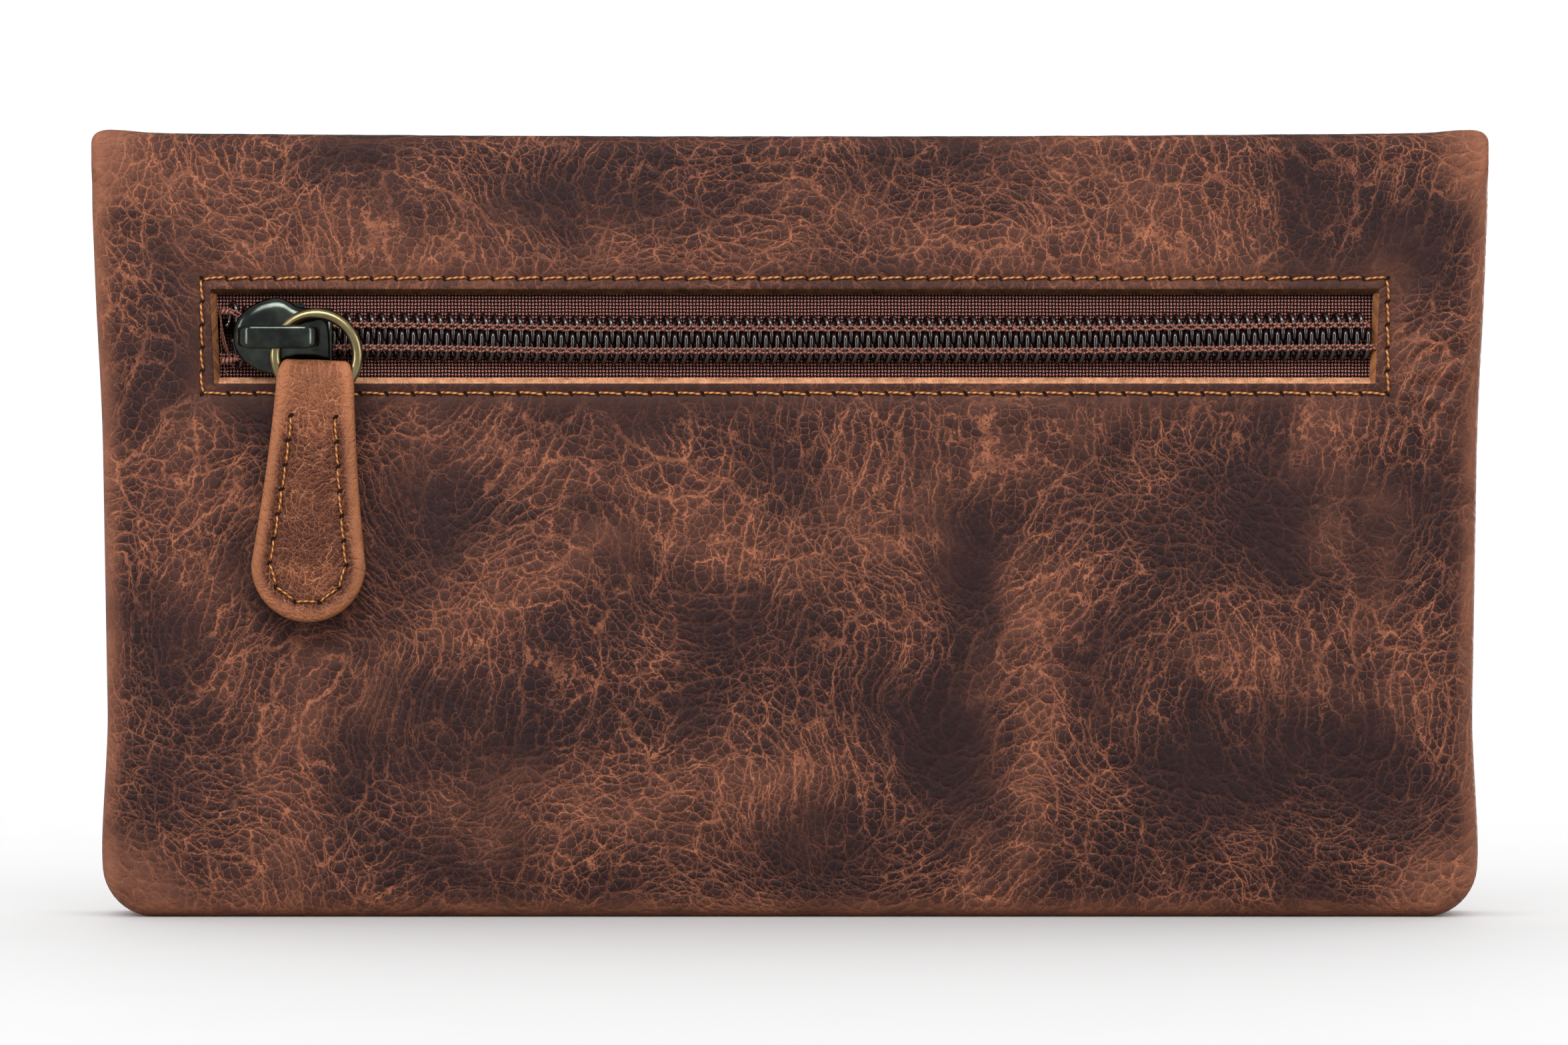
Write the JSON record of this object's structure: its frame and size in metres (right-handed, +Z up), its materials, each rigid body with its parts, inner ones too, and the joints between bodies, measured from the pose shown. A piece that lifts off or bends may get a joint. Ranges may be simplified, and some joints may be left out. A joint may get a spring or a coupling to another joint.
{
  "type": "zippered pouch",
  "caption": "Flat fold-over leather pouch with a framed zip pocket across its back, a flap over the front and a leather puller on a ring.",
  "frame": {"origin": "on the flat base, at the middle of the pouch's width and at the depth of the back half's base", "axes": "+X to the right when facing the zipped panel, -Y out of the zipped panel, +Z up"},
  "size_m": [0.1746, 0.0217, 0.0986],
  "materials": {
    "leather": "pebbled brown pull-up leather, worn lighter at the edges, soft sheen",
    "puller_leather": "tan leather, burnished rim",
    "lining": "matt brown cotton twill",
    "tape": "woven brown zip tape",
    "coil": "glossy dark brown nylon",
    "cord": "twisted brown polyester cord",
    "thread": "golden brown bonded thread",
    "stop_metal": "plain pressed metal",
    "gunmetal": "dark gunmetal plating, satin with worn highlights",
    "ring_brass": "antique brass, satin",
    "board": "plain leather board",
    "magnet": "nickel plated"
  },
  "bodies": {
    "pouch": {"back_leather": "leather", "front_leather": "leather", "front_lining": "lining", "pocket_front_lining": "lining", "divider_lining": "lining", "seam_binding": "tape", "zip_tape_upper": "tape", "zip_tape_lower": "tape", "zip_coil_upper": "coil", "zip_coil_lower": "coil", "core_cord_upper": "cord", "core_cord_lower": "cord", "zip_top_stops": "stop_metal", "zip_bottom_stop": "stop_metal", "window_stitching": "thread", "mouth_stitching": "thread", "body_magnets": "magnet"},
    "spine": {"spine_leather": "leather", "spine_lining": "lining"},
    "flap": {"flap_leather": "leather", "flap_lining": "lining", "flap_magnets": "magnet"},
    "slider": {"slider_body": "gunmetal", "slider_bridge": "gunmetal"},
    "ring": {"pull_ring": "ring_brass"},
    "puller": {"puller_leather": "puller_leather", "puller_core": "board", "puller_stitching": "thread"}
  },
  "joints": [
    {"name": "back_fold", "type": "hinge", "parent": "pouch", "child": "spine", "pos_m": [0, -0.0057, 0.0973], "axis": [1, 0, 0], "range_deg": [0, 90]},
    {"name": "flap_fold", "type": "hinge", "parent": "spine", "child": "flap", "pos_m": [0, 0.0073, 0.0973], "axis": [1, 0, 0], "range_deg": [0, 90]},
    {"name": "zip_slide", "type": "slide", "parent": "pouch", "child": "slider", "axis": [1, 0, 0], "range_m": [0, 0.1275]},
    {"name": "ring_tip", "type": "hinge", "parent": "slider", "child": "ring", "pos_m": [-0.0637, -0.01075, 0.0728], "axis": [-1, 0, 0], "range_deg": [0, 20]},
    {"name": "puller_swing", "type": "hinge", "parent": "ring", "child": "puller", "pos_m": [-0.059, -0.01075, 0.0705], "axis": [0, -1, 0], "range_deg": [-12, 60]}
  ]
}
